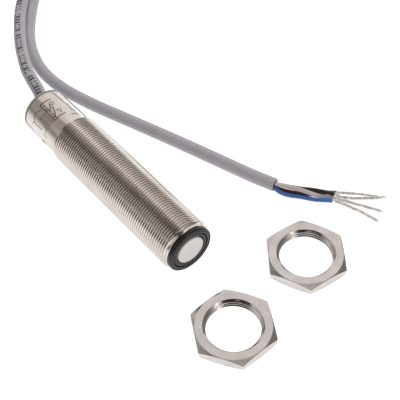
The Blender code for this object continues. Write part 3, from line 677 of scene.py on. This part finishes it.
def build_front():
    low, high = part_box("front_bezel")
    reach = BORE_RADIUS - BORE_PLAY
    outer = high.y
    back = high.x - LIP_DEPTH
    edge = 0.35 * MM
    outline = rounded((
        (0.0, BEZEL_MOUTH), (0.0, GROOVE[0]), (-GROOVE_DEPTH, GROOVE[1]),
        (-GROOVE_DEPTH, GROOVE[2]), (0.0, GROOVE[3]), (0.0, outer - edge), (-edge, outer),
        (back, outer), (back, reach), (low.x, reach), (low.x, BEZEL_SHELF),
        (-SHELF_DEPTH, BEZEL_SHELF), (-SHELF_DEPTH, BEZEL_MOUTH),
    ), 0.12 * MM, 3)
    black = plain_finish("black_plastic", (0.014, 0.0125, 0.012), 0.3, 0.0, 1200.0, 0.02)
    black.node_tree.nodes["Principled BSDF"].inputs["Specular IOR Level"].default_value = 0.3
    add_piece(
        "bezel", turned("bezel", outline), black, "sensor", "black_plastic", "front_bezel",
    )
    crown = (ISOLATOR_INNER + ISOLATOR_OUTER) / 2
    outline = rounded((
        (-0.25 * MM, ISOLATOR_INNER), (-0.05 * MM, crown), (-0.1 * MM, ISOLATOR_OUTER),
        (-ISOLATOR_DEPTH, ISOLATOR_OUTER), (-ISOLATOR_DEPTH, ISOLATOR_INNER),
    ), 0.15 * MM, 3)
    rubber = plain_finish("isolation_rubber", (0.03, 0.028, 0.027), 0.6, 0.0, 2000.0, 0.03)
    add_piece(
        "isolator", turned("isolator", outline), rubber, "sensor", "black_rubber",
        "isolation_ring",
    )
    low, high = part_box("transducer_face")
    rim = high.y
    outline = (
        (-DISC_RIM_HEIGHT, 0.0), (-DISC_RIM_HEIGHT, rim - 0.5 * MM), (0.0, rim - 0.4 * MM),
        (0.0, rim - 0.12 * MM), (-0.05 * MM, rim - 0.03 * MM), (-0.15 * MM, rim),
        (low.x, rim), (low.x, 0.0),
    )
    finish = Finish("matching_layer", (0.66, 0.63, 0.61), 0.5)
    beads = finish.noise(1500.0, 3.0, rough=0.7)
    finish.colours(finish.smooth(beads, 0.3, 0.7), (0.62, 0.59, 0.57), (0.70, 0.67, 0.65))
    finish.roughness(beads, 0.42, 0.6)
    finish.bump(beads, 0.4, 0.03 * MM)
    add_piece(
        "sensing_disc", turned("sensing_disc", outline), finish.material, "sensor",
        "matching_layer", "transducer_face",
    )


def build_rear():
    low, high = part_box("rear_cap")
    flange = high.y
    skirt = BORE_RADIUS - BORE_PLAY
    step = low.x + 1.0 * MM
    throat = CABLE_DIAMETER / 2 + 0.3 * MM
    mouth = 4.4 * MM
    outline = rounded((
        (high.x, throat), (high.x, skirt), (step, skirt), (step, flange),
        (low.x + 0.4 * MM, flange), (low.x, flange - 0.45 * MM), (low.x, mouth),
        (high.x - 1.3 * MM, throat),
    ), 0.25 * MM, 4)
    finish = Finish("translucent_cap", (0.46, 0.48, 0.44), 0.3)
    finish.set(finish.shader.inputs["Transmission Weight"], 0.35)
    cloud = finish.noise(400.0, 2.0)
    finish.colours(finish.smooth(cloud, 0.3, 0.7), (0.42, 0.44, 0.40), (0.52, 0.54, 0.50))
    finish.roughness(cloud, 0.25, 0.38)
    finish.bump(cloud, 0.3, 0.03 * MM)
    add_piece(
        "end_cap", turned("end_cap", outline), finish.material, "sensor", "translucent_cap",
        "rear_cap",
    )


def build_lens():
    """A smoked light guide with a slightly domed end, flush with the plain length."""
    axis = lens_axis()
    start = LENS_INNER_END
    crown = TAIL_RADIUS - 0.1 * MM
    side = Vector((1.0, 0.0, 0.0))
    up = axis.cross(side)
    steps = [(start, 0.0), (start, LENS_RADIUS), (crown - LENS_DOME, LENS_RADIUS)]
    for n in range(1, 6):
        tilt = math.pi / 2 * n / 6
        steps.append((crown - LENS_DOME * (1 - math.sin(tilt)), LENS_RADIUS * math.cos(tilt)))
    steps.append((crown, 0.0))
    bm = bmesh.new()
    rings = []
    for height, radius in steps:
        centre = Vector((lens_middle(), 0.0, 0.0)) + axis * height
        angles = [0.0] if radius == 0.0 else [TURN * k / 32 for k in range(32)]
        rings.append([
            bm.verts.new(centre + (side * math.cos(a) + up * math.sin(a)) * radius)
            for a in angles
        ])
    for first, second in zip(rings, rings[1:]):
        join_rings(bm, first, second)
    finish = Finish("smoked_lens", (0.035, 0.03, 0.028), 0.25)
    haze = finish.noise(700.0, 2.0)
    finish.colours(finish.smooth(haze, 0.3, 0.7), (0.03, 0.026, 0.024), (0.05, 0.042, 0.036))
    finish.roughness(haze, 0.2, 0.3)
    finish.set(finish.shader.inputs["Specular IOR Level"], 0.2)
    add_piece(
        "light_window", mesh_from("light_window", bm), finish.material, "sensor",
        "smoked_lens", "led_window",
    )


# The cable


def coil_points():
    """The coil's centreline: one layer winding in on the floor, the next winding out on it."""
    points = []
    steps = round(ALL_TURNS * 24)
    inner = COIL_OUTER - LAYER_TURNS * CABLE_DIAMETER / MM
    for n in range(steps + 1):
        turns = ALL_TURNS * n / steps
        if turns < LAYER_TURNS:
            radius = COIL_OUTER - turns * CABLE_DIAMETER / MM
        else:
            share = (turns - LAYER_TURNS) / (ALL_TURNS - LAYER_TURNS)
            radius = inner + (COIL_OUTER - inner) * share
        rise = min(1.0, max(0.0, (turns - LAYER_TURNS + CLIMB) / (2 * CLIMB)))
        rise = rise * rise * (3 - 2 * rise)
        angle = COIL_START - TURN * turns
        points.append((
            COIL_CENTRE[0] + radius * math.cos(angle), COIL_CENTRE[1] + radius * math.sin(angle),
            LOW_LAYER + (HIGH_LAYER - LOW_LAYER) * rise,
        ))
    return points


def build_cable():
    route = [*TAIL_ROUTE, *coil_points(), *END_ROUTE]
    path = smooth_route([Vector(p) * MM for p in route], 2.0 * MM)
    bm = bmesh.new()
    uv = bm.loops.layers.uv.new("UVMap")
    radius = CABLE_DIAMETER / 2
    end_rings = (
        (0.05 * MM, radius - 0.08 * MM), (0.05 * MM, radius - 0.75 * MM),
        (-0.5 * MM, radius - 0.8 * MM),
    )
    add_tube(bm, path, radius, CABLE_SEGMENTS, uv, end_rings)
    cable = add_piece(
        "cable", mesh_from("cable", bm), jacket(), "sensor", "grey_jacket",
        "cable_tail", "cable_coil", "cable_end",
    )
    return cable, path


def lay_wires(route, name, material):
    """Bare wires laid round each other along a route, with a slightly loose tip."""
    bm = bmesh.new()
    spacing = 0.5 * MM
    path = smooth_route([Vector(p) for p in route], spacing)
    frames = carried_frames(path)
    count = len(path)
    for wire in range(WIRES):
        line = []
        for n, (point, (side, up)) in enumerate(zip(path, frames)):
            share = n / (count - 1)
            angle = TURN * (n * spacing / STRAND_LAY + wire / (WIRES - 1))
            reach = 0.0 if wire == 0 else WIRE_DIAMETER * 0.98
            tip = max(0.0, share - 0.8) / 0.2
            reach *= 1.0 + WIRE_SPREAD * tip * math.sin(5.0 * wire)
            line.append(point + side * (reach * math.cos(angle)) + up * (reach * math.sin(angle)))
        cut = count - (wire * 3) % 5
        add_tube(bm, line[:cut], WIRE_DIAMETER / 2, 8)
    return mesh_from(name, bm)


CORE_FINISHES = {
    "white": ((0.54, 0.475, 0.48), 0.4), "blue": ((0.045, 0.135, 0.40), 0.4),
    "black": ((0.018, 0.016, 0.013), 0.4), "brown": ((0.06, 0.022, 0.018), 0.45),
}


def build_cores():
    made = []
    tin = strand_tin()
    for colour, route in CORE_ROUTES.items():
        path = smooth_route([Vector(p) * MM for p in route], 0.6 * MM)
        bm = bmesh.new()
        radius = CORE_DIAMETER / 2
        end_rings = ((0.02 * MM, radius - 0.08 * MM), (0.02 * MM, 0.42 * MM))
        add_tube(bm, path, radius, 16, None, end_rings)
        finish = plain_finish(colour + "_core_pvc", *CORE_FINISHES[colour])
        made.append(add_piece(
            "insulated_core_" + colour, mesh_from("insulated_core_" + colour, bm), finish,
            "sensor", colour + "_insulation", "core_" + colour,
        ))
        heading = (path[-1] - path[-2]).normalized()
        bare = [path[-1] - heading * MM, path[-1] + heading * 0.4 * MM]
        bare += [Vector(p) * MM for p in STRAND_ENDS[colour]]
        name = "bare_strands_" + colour
        made.append(add_piece(
            name, lay_wires(bare, name, tin), tin, "sensor", "tinned_copper",
            "strands_" + colour,
        ))
    return made


# The lock nuts


def nut_mesh(name, corner):
    """A thin hexagon nut about its own axis, its floor side at 0, with an internal thread."""
    low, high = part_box(name)
    height = high.z - low.z
    bm = bmesh.new()
    profile = (
        (0.0, NUT_ROOT), (0.1, NUT_ROOT), (0.42, NUT_BORE), (0.60, NUT_BORE), (0.92, NUT_ROOT),
    )
    lip = 0.15 * MM

    def trimmed(place, radius):
        lead = min(place, height - place)
        return max(radius, NUT_MOUTH - lead * MOUTH_SLOPE)

    def point(place, radius, angle):
        return (radius * math.cos(angle), radius * math.sin(angle), place)

    helix_surface(bm, profile, 0.0, height, NUT_SEGMENTS, trimmed, point)
    angles = [TURN * k / NUT_SEGMENTS for k in range(NUT_SEGMENTS)]

    def reach(angle):
        nearest = (angle - corner) % (TURN / 6) - TURN / 12
        return NUT_FLATS / 2 / math.cos(nearest)

    def ring(width, rise):
        verts = []
        for a in angles:
            radius = reach(a) if width is None else width
            if width is None:
                depth = (radius - NUT_FACE) * math.tan(NUT_CHAMFER)
                z = depth if rise == 0.0 else height - depth
            else:
                z = rise
            verts.append(bm.verts.new((radius * math.cos(a), radius * math.sin(a), z)))
        return verts

    rings = [
        ring(NUT_MOUTH, height), ring(NUT_MOUTH + lip, height), ring(NUT_FACE, height),
        ring(None, height), ring(None, 0.0), ring(NUT_FACE, 0.0), ring(NUT_MOUTH + lip, 0.0),
        ring(NUT_MOUTH, 0.0),
    ]
    for first, second in zip(rings, rings[1:]):
        join_rings(bm, first, second)
    bmesh.ops.remove_doubles(bm, verts=bm.verts, dist=0.001 * MM)
    bmesh.ops.dissolve_degenerate(bm, edges=bm.edges, dist=0.0005 * MM)
    return mesh_from(name, bm, math.radians(20.0))


def build_nuts():
    nickel = nickel_nut()
    for name, (x, y, corner) in NUTS.items():
        piece = name.replace("lock_nut", "hexagon_nut")
        mesh = nut_mesh(name, corner)
        mesh.name = piece
        place = (x * MM, y * MM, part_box(name)[0].z)
        add_piece(piece, mesh, nickel, name, "nickel_nut", name, place=place)


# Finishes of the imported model's own pieces inside the housing


INSIDE = {
    "front_o_ring": ((0.03, 0.03, 0.03), 0.6, 0.0),
    "transducer_cup": ((0.72, 0.72, 0.72), 0.35, 1.0),
    "piezo_disc": ((0.55, 0.5, 0.4), 0.5, 0.0),
    "backing_block": ((0.12, 0.12, 0.12), 0.8, 0.0),
    "transducer_lead_red": ((0.5, 0.03, 0.03), 0.5, 0.0),
    "transducer_lead_black": ((0.03, 0.03, 0.03), 0.5, 0.0),
    "insulating_sleeve": ((0.75, 0.62, 0.35), 0.4, 0.0),
    "circuit_board": ((0.02, 0.18, 0.07), 0.4, 0.0),
    "echo_amplifier": ((0.03, 0.03, 0.03), 0.5, 0.0),
    "microcontroller": ((0.035, 0.035, 0.035), 0.5, 0.0),
    "voltage_regulator": ((0.03, 0.03, 0.035), 0.5, 0.0),
    "output_transistor": ((0.04, 0.035, 0.03), 0.5, 0.0),
    "pulse_transformer": ((0.08, 0.075, 0.07), 0.6, 0.0),
    "buffer_capacitor": ((0.05, 0.08, 0.25), 0.4, 0.0),
    "signal_led": ((0.8, 0.75, 0.4), 0.3, 0.0),
    "potting_plug": ((0.06, 0.06, 0.06), 0.5, 0.0),
    "crimp_ring": ((0.7, 0.55, 0.3), 0.35, 1.0),
    "board_wire_brown": ((0.13, 0.05, 0.03), 0.45, 0.0),
    "board_wire_black": ((0.025, 0.022, 0.02), 0.45, 0.0),
    "board_wire_white": ((0.7, 0.64, 0.64), 0.45, 0.0),
    "board_wire_blue": ((0.06, 0.2, 0.55), 0.45, 0.0),
}


def finish_inside():
    for name, look in INSIDE.items():
        material = plain_finish(name + "_finish", *look)
        for held in nodes[name].material_slots:
            held.material = material


# Floor, light and camera


def build_floor():
    """White paper: even where the camera sees it, fading to one side where metal reflects it."""
    bm = bmesh.new()
    bmesh.ops.create_grid(bm, x_segments=1, y_segments=1, size=FLOOR_SIZE)
    mesh = mesh_from("floor", bm)
    floor = bpy.data.objects.new("floor", mesh)
    floor.location = (0.0, 0.0, FLOOR_Z - FLOOR_GAP)
    floor.rotation_euler.z = FADE_HEADING
    bpy.context.scene.collection.objects.link(floor)
    white = Finish("paper_floor", (0.6, 0.6, 0.6), 0.9)
    white.set(white.shader.inputs["Specular IOR Level"], 0.0)
    white.set(white.shader.inputs["Emission Color"], rgb(1.0, 1.0, 1.0))
    coords = white.add("ShaderNodeSeparateXYZ", {0: white.place()})
    glow = white.smooth(coords.outputs[0], FADE_START, FADE_END, FLOOR_GLOW, 0.0)
    seen = white.add("ShaderNodeLightPath").outputs["Is Camera Ray"]
    even = {0: seen, 2: glow, 3: FLOOR_GLOW}
    glow = white.add("ShaderNodeMix", even, data_type="FLOAT").outputs[0]
    white.set(white.shader.inputs["Emission Strength"], glow)
    mesh.materials.append(white.material)


# What the metal sees: brightness, then the azimuth from and to with its softness in degrees,
# and the height of the direction from and to with its softness, each over the ones before
STUDIO = (
    (0.80, (-200, 200, 5, 0.92, 1.2, 0.04)),  # ceiling
    (0.25, (35, 100, 6, -0.2, 0.85, 0.08)),  # far right wall
    (0.28, (-200, -108, 6, -0.2, 0.30, 0.06)),  # foot of the left wall
    (0.46, (-200, -125, 8, 0.08, 0.80, 0.06)),  # left wall
    (0.72, (-145, -100, 8, 0.27, 0.80, 0.07)),  # left reflector
    (0.40, (8, 45, 5, -0.2, 0.85, 0.06)),  # right wall
    (0.80, (2, 32, 5, 0.32, 0.88, 0.05)),  # right softbox
    (2.00, (13, 23, 3, 0.36, 0.84, 0.05)),  # its tube
    (0.92, (140, 200, 5, -0.2, 0.70, 0.05)),  # backdrop's far end
    (1.05, (100, 161, 4, -0.2, 0.93, 0.04)),  # backdrop
)


def build_studio():
    """White where the camera sees it, and the areas of STUDIO where the pieces reflect it."""
    world = bpy.data.worlds.new("studio")
    bpy.context.scene.world = world
    world.use_nodes = True
    studio = Graph(world.node_tree)
    direction = studio.add("ShaderNodeTexCoord").outputs["Generated"]
    parts = studio.add("ShaderNodeSeparateXYZ", {0: direction})
    x, y, z = parts.outputs
    azimuth = studio.math("ARCTAN2", y, x)

    def window(value, start, end, soft):
        rise = studio.smooth(value, start - soft, start + soft)
        fall = studio.smooth(value, end + soft, end - soft)
        return studio.math("MULTIPLY", rise, fall)

    def sector(start, end, soft, low, high, edge):
        across = window(azimuth, math.radians(start), math.radians(end), math.radians(soft))
        return studio.math("MULTIPLY", across, window(z, low, high, edge))

    room = rgb(0.045, 0.037, 0.031)
    for level, where in STUDIO:
        tone = min(1.0, level)
        room = studio.mix(sector(*where), room, rgb(
            level, level * (0.87 + 0.09 * tone), level * (0.79 + 0.15 * tone),
        ))
    seen = studio.add("ShaderNodeLightPath").outputs["Is Camera Ray"]
    sky = studio.mix(seen, room, rgb(1.0, 1.0, 1.0))
    background = world.node_tree.nodes["Background"]
    studio.set(background.inputs["Color"], sky)


def add_softbox(name, place, size, power):
    light = bpy.data.lights.new(name, "AREA")
    light.shape = "SQUARE"
    light.size = size
    light.energy = power
    lamp = bpy.data.objects.new(name, light)
    lamp.location = place
    lamp.rotation_euler = (-Vector(place)).to_track_quat("-Z", "Y").to_euler()
    lamp.visible_camera = False
    lamp.visible_glossy = False
    bpy.context.scene.collection.objects.link(lamp)


def build_camera():
    camera = bpy.data.objects.new("camera", bpy.data.cameras.new("camera"))
    camera.data.lens = 84.09
    camera.data.sensor_width = 36.0
    camera.data.clip_start = 0.01
    camera.data.clip_end = 10.0
    camera.location = (0.13896, -0.10361, 0.23323)
    camera.rotation_euler = [math.radians(a) for a in (39.642, 1.530, 50.301)]
    bpy.context.scene.collection.objects.link(camera)
    bpy.context.scene.camera = camera


build_camera()
build_floor()
build_studio()
add_softbox("key_softbox", (-0.35, 0.35, 0.6), size=0.5, power=2.2)
add_softbox("fill_softbox", (0.5, -0.2, 0.35), size=0.5, power=1.6)
bpy.context.scene.view_settings.view_transform = "Standard"

build_housing()
build_marking()
build_front()
build_rear()
build_lens()
cable, cable_path = build_cable()
cores = build_cores()
build_nuts()
finish_inside()
